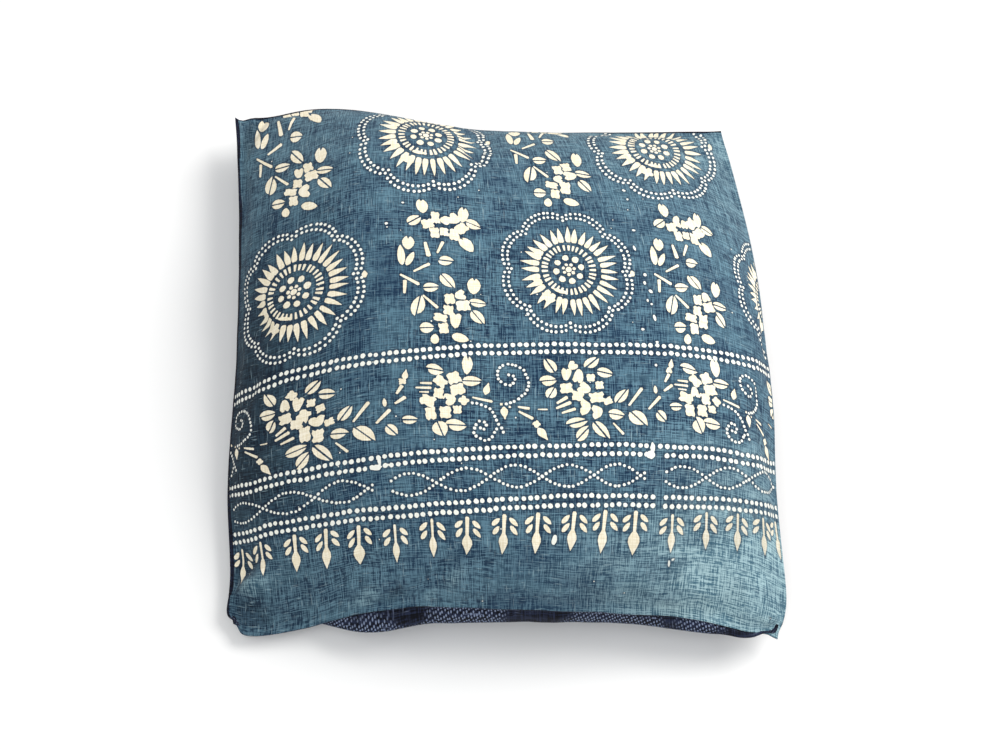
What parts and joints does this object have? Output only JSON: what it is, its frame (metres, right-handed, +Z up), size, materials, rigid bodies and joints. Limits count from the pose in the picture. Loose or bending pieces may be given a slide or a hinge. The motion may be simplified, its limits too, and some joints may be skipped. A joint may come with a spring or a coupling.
{
  "type": "cushion",
  "caption": "Square filled scatter cushion lying on its back: faded indigo front with a cream flower and border print, plain dark navy back, joined at a knife-edge seam.",
  "frame": {"origin": "centre of the cushion's bounding rectangle on the floor, under the flat patch of the back panel", "axes": "+Z up through the crown of the front panel, -Y towards the near side with the plain band under the print, +X to the right seen from there"},
  "size_m": [0.4826, 0.4938, 0.1462],
  "materials": {
    "front_cloth": "matt, slubby faded indigo homespun with a cream resist print",
    "back_cloth": "matt, slubby dark navy plain weave"
  },
  "bodies": {
    "root": {"front_panel": "front_cloth", "back_panel": "back_cloth"}
  },
  "joints": []
}
